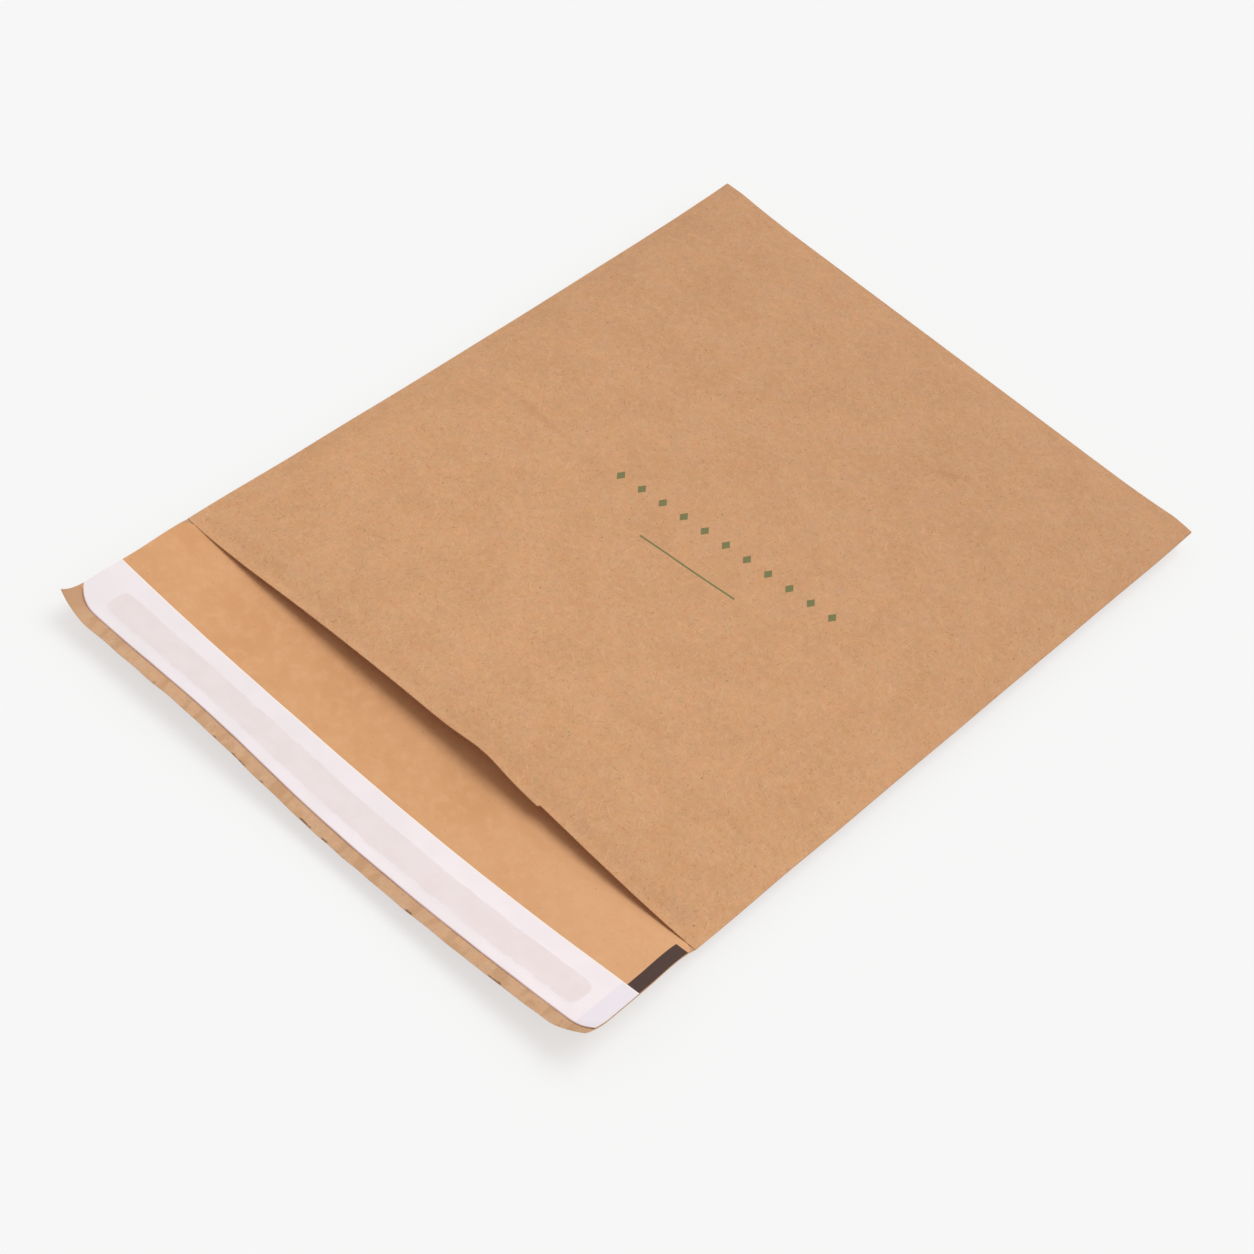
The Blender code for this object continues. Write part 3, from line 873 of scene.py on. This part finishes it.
def front_print(shading):
    """Mask of the plain rule and of the row of small lozenges above it."""
    along_line, across_line = front_frame(shading, RULE_AT, PRINT_ANGLE)
    rule = inside_box(shading, along_line, across_line, RULE_LENGTH / 2, RULE_WIDTH / 2, PRINT_EDGE)
    along_line, across_line = front_frame(shading, ROW_AT, PRINT_ANGLE)
    turns = shading.plus(shading.math("DIVIDE", along_line, ROW_PITCH), ROW_COUNT / 2)
    offset = shading.minus(shading.math("FRACT", turns), 0.5)
    beside = shading.times(shading.unsigned(offset), ROW_PITCH)
    slimness = ROW_HALF_WIDTH / ROW_HALF_HEIGHT
    upright = shading.times(shading.unsigned(across_line), slimness)
    reach = shading.plus(beside, upright)
    lozenge = shading.spread(reach, ROW_HALF_WIDTH + PRINT_EDGE, ROW_HALF_WIDTH - PRINT_EDGE)
    half_row = ROW_COUNT * ROW_PITCH / 2
    row = inside_box(shading, along_line, across_line, half_row, ROW_PITCH, PRINT_EDGE)
    return shading.math("MAXIMUM", rule, shading.times(lozenge, row))


def outer_face_material():
    """Brown kraft with the printed marks, painted shade along two creases, and painted shade that darkens
    it towards the closed end.
    """
    shading = Shading("kraft_outside", KRAFT_ROUGHNESS)
    paint, grain = kraft(shading, (210, 160, 118), mottle=0.39, fibre=0.62)
    # Painted shade along two creases in the front
    for centre, angle, half_length, half_width, share in FRONT_CREASE_SHADES:
        shade_mask = painted_crease_shade(shading, centre, angle, half_length, half_width)
        paint = shading.over(paint, shade_mask, share, colour(181, 127, 85))
    # Painted shade: the front is painted darker towards the closed end
    closed_end = FOLD_ALLOWANCE + POUCH_LENGTH
    shade_share = shading.spread(shading.along, closed_end + POUCH_LENGTH, closed_end - PAINTED_SHADE_PAST_FOLD)
    paint = shading.blend(shade_share, paint, shading.blend(1.0, paint, PAINTED_SHADE_TONE, "MULTIPLY"))
    ink = shading.blend(shading.cloud(0.0006), colour(108, 112, 72), colour(124, 127, 86))
    wear = shading.spread(shading.cloud(0.0004), 0.2, 0.5, 0.7, 0.97)
    paint = shading.blend(shading.times(front_print(shading), wear), paint, ink)
    return shading.finish(paint, shading.bump(grain, KRAFT_GRAIN, 0.5))


def inner_face_material():
    """The outer sheet's inner face, which shows on the tail: greyer, creased, torn dark at its edge, with
    painted shade in its creases and at its left corner.
    """
    shading = Shading("kraft_tail", KRAFT_ROUGHNESS)
    paint, grain = kraft(shading, (208, 166, 130), mottle=0.38, fibre=0.36)
    # Painted shade in the tail's creases: darker streaks that run along them
    fold_shade = shading.cloud(0.0050, 1.0, 0.5, shading.placed(0.0, (1.0, TAIL_CREASE_STRETCH)), 0.4)
    paint = shading.blend(shading.spread(fold_shade, 0.50, 0.66, 0.0, 0.40), paint, colour(184, 140, 102))
    where = shading.patches(0.0065, 1.0, 0.5, 0.60, 0.68, at=shading.placed(0.0, (1.0, 0.1), (2.0, 4.0)))
    rag = shading.times(shading.cloud(0.0016, 3.0, 0.7, shading.placed(0.7)), TEAR_DEPTH)
    past_rag = shading.minus(shading.plus(shading.along, FLAP_LENGTH), rag)
    torn = shading.times(shading.spread(past_rag, *TEAR_EDGE), where)
    paint = shading.over(paint, torn, 0.8, colour(112, 84, 62))
    # Painted shade: the tail's left corner, which curls up away from the light, is painted darker
    corner_shade = shading.spread(shading.across, *TAIL_CORNER_SHADE, 0.0, 0.8)
    paint = shading.blend(corner_shade, paint, colour(197, 153, 118))
    return shading.finish(paint, shading.bump(grain, KRAFT_GRAIN, 0.5))


def rim_material():
    """Cut edges of the kraft, where the pulp shows."""
    shading = Shading("kraft_cut_edge", 0.9)
    paint = shading.blend(shading.cloud(0.0012), colour(196, 150, 112), colour(226, 186, 148))
    return shading.finish(paint)


def edge_bar(shading):
    """Mask of the dark bar along the flap's right edge."""
    from_middle = shading.minus(shading.across, midway(BAR_INNER, BAR_OUTER))
    half_width = (BAR_OUTER - BAR_INNER) / 2
    in_width = shading.spread(
        shading.unsigned(from_middle), half_width + PRINT_EDGE, half_width - PRINT_EDGE)
    past_start = shading.spread(shading.along, -BAR_START + PRINT_EDGE, -BAR_START - PRINT_EDGE)
    return shading.times(in_width, past_start)


def lining_material():
    """Smooth orange lining with the dark printed bar along the flap's right edge, painted lighter towards
    the right where the flap curls up.
    """
    shading = Shading("lining_face", 0.80)
    broad = shading.patches(0.024, 2.0, 0.6, 0.32, 0.70)
    paint = shading.blend(broad, colour(219, 165, 118), colour(214, 158, 111))
    # Painted light: the lining is painted lighter towards the right, where the flap curls up
    to_right = shading.spread(shading.across, *LINING_PAINTED_LIGHT)
    paint = shading.over(paint, to_right, 0.6, colour(226, 174, 129))
    close = shading.patches(0.0050, 3.0, 0.65, 0.42, 0.72, 0.35, shading.placed(0.8))
    paint = shading.blend(close, paint, colour(228, 177, 132))
    streaks = shading.tangle(length=0.0060, width=0.0006, threshold=0.62, seed=2.2)
    paint = shading.over(paint, streaks, 0.20, colour(206, 150, 106))
    faint = shading.specks(cell=0.0075, radius=0.00040, chance=0.35, shift=(0.31, 0.17))
    paint = shading.over(paint, faint, 0.30, colour(160, 110, 72))
    ink = shading.blend(shading.cloud(0.0007, 3.0, 0.7), colour(74, 56, 52), colour(92, 73, 67))
    paint = shading.blend(edge_bar(shading), paint, ink)
    return shading.finish(paint, shading.bump(shading.cloud(0.0009), 0.00002, 0.4))


def glue_shows(shading):
    """Mask of the glue band under the paper strip, with rounded ends and a slightly uneven edge."""
    sway = shading.times(shading.minus(shading.cloud(0.005, 3.0, 0.6), 0.5), BAND_SWAY)
    from_middle = shading.plus(shading.along, midway(BAND_START, BAND_END))
    sideways = shading.unsigned(shading.plus(shading.across, sway))
    lengthways = shading.unsigned(shading.plus(from_middle, sway))
    to_side = shading.minus(sideways, HALF_WIDTH - BAND_SIDE_MARGIN)
    to_edge = shading.minus(lengthways, BAND_WIDTH / 2)
    past_side = shading.math("MAXIMUM", shading.plus(to_side, BAND_ROUNDING), 0.0)
    past_edge = shading.math("MAXIMUM", shading.plus(to_edge, BAND_ROUNDING), 0.0)
    squares = shading.plus(shading.square(past_side), shading.square(past_edge))
    outside = shading.minus(shading.math("SQRT", squares), BAND_ROUNDING)
    return shading.spread(outside, BAND_SOFTNESS, -BAND_SOFTNESS)


def liner_material():
    """White siliconed paper, thin enough to show the glue band and the dark bar under it, painted lighter
    towards the right, with painted shade along its free edge and a painted highlight along its top edge.
    """
    shading = Shading("release_paper_face", 0.5, 0.25)
    # Painted light: the strip, with the glue band under it, is painted lighter towards the right
    to_right = shading.spread(shading.across, *STRIP_PAINTED_LIGHT)
    paper = shading.blend(to_right, colour(242, 232, 235), colour(249, 237, 239))
    dull = shading.blend(to_right, colour(238, 229, 231), colour(245, 234, 236))
    paint = shading.blend(shading.patches(0.014, 2.0, 0.5, 0.3, 0.7), paper, dull)
    clear = shading.blend(to_right, colour(236, 223, 223), colour(240, 226, 226))
    tacky = shading.blend(to_right, colour(233, 220, 220), colour(237, 223, 222))
    band = shading.blend(shading.patches(0.009, 3.0, 0.6, 0.35, 0.65), clear, tacky)
    paint = shading.blend(glue_shows(shading), paint, band)
    bar_edge = BAR_SHADOW_INNER
    over_bar = shading.spread(shading.across, bar_edge - BAR_SHADOW_SOFT, bar_edge + BAR_SHADOW_SOFT)
    paint = shading.blend(over_bar, paint, colour(238, 230, 236))
    # Painted shade: a dark line along the strip's free edge
    edge_shade = shading.spread(shading.uncut_along, *EDGE_SHADE_SPAN, 0.0, 0.75)
    paint = shading.blend(edge_shade, paint, colour(186, 138, 126))
    # Painted highlight: a pale warm line along the strip's top edge
    edge_highlight = shading.spread(shading.uncut_along, *EDGE_HIGHLIGHT_SPAN, 0.0, 0.8)
    paint = shading.blend(edge_highlight, paint, colour(252, 240, 226))
    return shading.finish(paint, shading.bump(shading.cloud(0.0011), 0.000012, 0.3))


def glue_material():
    """Dried glue, drawn out in faint ridges along the band."""
    shading = Shading("glue_face", 0.3, 0.5)
    paint = shading.blend(shading.cloud(0.003, 3.0), colour(206, 184, 150), colour(190, 165, 128))
    ridges = shading.cloud(0.0018, 2.0, 0.5, shading.placed(0.0, (0.12, 1.0)))
    return shading.finish(paint, shading.bump(ridges, 0.00005, 0.6))


def padding_material():
    """Grey recycled fibre, matted."""
    shading = Shading("fibre_face", 0.97)
    matted = shading.cloud(0.0022, 4.0, 0.7)
    paint = shading.blend(matted, colour(196, 184, 170), colour(158, 146, 134))
    strands = shading.tangle(length=0.0050, width=0.0004, threshold=0.55, seed=0.7)
    paint = shading.over(paint, strands, 0.5, colour(222, 214, 204))
    return shading.finish(paint, shading.bump(strands, 0.00012, 0.8))


def build_pieces():
    """The five pieces, each in place of its solid."""
    cut_edge = rim_material()
    lining = lining_material()
    face_rows = flap_stations(0.0, FLAP_FACE, FLAP_SPACING)[1:-1]
    outer_rows = flap_stations(FLAP_FACE, FLAP_LENGTH, TAIL_SPACING) + face_rows + pouch_stations()
    inner_rows = flap_stations(FLAP_FACE, LINING_END, FLAP_SPACING) + face_rows + pouch_stations()
    outer = sheet_piece(
        "kraft_outer_sheet", panel_columns(), outer_rows, constant(0.0), constant(OUTER_PLY),
        outer_place, [outer_face_material(), inner_face_material(), cut_edge])
    inner = sheet_piece(
        "kraft_lining_sheet", panel_columns(SEAM), inner_rows, inner_depth, constant(INNER_PLY),
        inner_place, [lining, lining, cut_edge])
    padding_reach = HALF_WIDTH - PADDING_MARGIN
    padding = sheet_piece(
        "fibre_padding", np.array(stops(-padding_reach, padding_reach, PADDING_SPACING)),
        pouch_stations(PADDING_MARGIN)[::2], constant(PADDING_DEPTH), padding_thickness,
        lambda across, station: (across, station), [padding_material()])
    band_reach = HALF_WIDTH - BAND_SIDE_MARGIN
    band = sheet_piece(
        "glue_band", np.array(stops(-band_reach, band_reach, BAND_SPACING)),
        flap_stations(BAND_START, BAND_END, TAIL_SPACING), constant(FLAP_FACE_DEPTH),
        constant(BAND_THICKNESS), band_place, [glue_material()])
    liner = sheet_piece(
        "release_strip", panel_columns(), flap_stations(FLAP_FACE, LINER_END, LINER_SPACING),
        liner_depth, constant(LINER_THICKNESS), liner_place, [liner_material()])
    return {
        "outer_kraft_ply": (outer, "outer_kraft"),
        "inner_kraft_ply": (inner, "inner_kraft"),
        "padding_sheet": (padding, "recycled_fibre"),
        "adhesive_strip": (band, "hot_melt_glue"),
        "release_liner": (liner, "release_paper"),
    }


def show_to_camera(tree, real, shown, share, target):
    """What the camera sees: the real shader, with the shown one mixed in by a share."""
    path = tree.nodes.new("ShaderNodeLightPath")
    part = tree.nodes.new("ShaderNodeMath")
    part.operation = "MULTIPLY"
    part.inputs[1].default_value = share
    choice = tree.nodes.new("ShaderNodeMixShader")
    tree.links.new(path.outputs["Is Camera Ray"], part.inputs[0])
    tree.links.new(part.outputs[0], choice.inputs["Fac"])
    tree.links.new(real.outputs[0], choice.inputs[1])
    tree.links.new(shown.outputs[0], choice.inputs[2])
    tree.links.new(choice.outputs[0], tree.nodes[target].inputs["Surface"])


def build_floor():
    """Pale floor that the camera sees partly as bright backdrop: its shadows are faint and warm."""
    bpy.ops.mesh.primitive_plane_add(size=2 * FLOOR_HALF, location=(0.0, 0.0, -FLOOR_DROP))
    floor = bpy.context.object
    floor.name = "floor"
    material = bpy.data.materials.new("pale_floor")
    material.use_nodes = True
    tree = material.node_tree
    shader = tree.nodes["Principled BSDF"]
    shader.inputs["Base Color"].default_value = colour(*FLOOR_LIT)
    shader.inputs["Roughness"].default_value = 0.9
    shader.inputs["Specular IOR Level"].default_value = 0.1
    glow = tree.nodes.new("ShaderNodeEmission")
    glow.inputs["Color"].default_value = colour(*FLOOR_SEEN)
    show_to_camera(tree, shader, glow, FLOOR_GLOW, "Material Output")
    floor.data.materials.append(material)


def build_sky():
    """Even white sky, which the camera sees as pale as the floor."""
    world = bpy.data.worlds.new("soft_sky")
    world.use_nodes = True
    tree = world.node_tree
    sky = tree.nodes["Background"]
    sky.inputs["Color"].default_value = (1.0, 1.0, 1.0, 1.0)
    sky.inputs["Strength"].default_value = SKY_STRENGTH
    seen = tree.nodes.new("ShaderNodeBackground")
    seen.inputs["Color"].default_value = colour(*SKY_SEEN)
    show_to_camera(tree, sky, seen, 1.0, "World Output")
    bpy.context.scene.world = world


def build_lamp():
    """One broad soft lamp from high up behind the closed end."""
    data = bpy.data.lights.new("soft_lamp", "SUN")
    data.angle = LAMP_SOFTNESS
    data.energy = LAMP_SHARE * math.pi / math.sin(LAMP_ELEVATION)
    lamp = bpy.data.objects.new("soft_lamp", data)
    level = math.cos(LAMP_ELEVATION)
    to_right = level * math.cos(LAMP_AZIMUTH)
    to_back = level * math.sin(LAMP_AZIMUTH)
    towards = Vector((to_right, to_back, math.sin(LAMP_ELEVATION)))
    lamp.rotation_mode = "QUATERNION"
    lamp.rotation_quaternion = towards.to_track_quat("Z", "Y")
    bpy.context.scene.collection.objects.link(lamp)


def build_camera():
    """Camera at the photograph's viewing place and angle."""
    data = bpy.data.cameras.new("camera")
    data.sensor_width = SENSOR_WIDTH
    data.lens = CAMERA_FOCAL_PIXELS / PICTURE_SIDE * data.sensor_width
    data.dof.use_dof = False
    camera = bpy.data.objects.new("camera", data)
    right = CAMERA_RIGHT.normalized()
    upward = -(CAMERA_DOWN - right * CAMERA_DOWN.dot(right)).normalized()
    behind = right.cross(upward)
    turn = Matrix((right, upward, behind)).transposed().to_4x4()
    camera.matrix_world = Matrix.Translation(CAMERA_PLACE) @ turn
    bpy.context.scene.collection.objects.link(camera)
    bpy.context.scene.camera = camera


def main():
    """Dress each solid with its piece, then add the room and the camera."""
    for node, (piece, slot) in build_pieces().items():
        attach(piece, BODY)
        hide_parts(node)
    build_floor()
    build_sky()
    build_lamp()
    build_camera()
    bpy.context.scene.view_settings.view_transform = "Standard"


main()
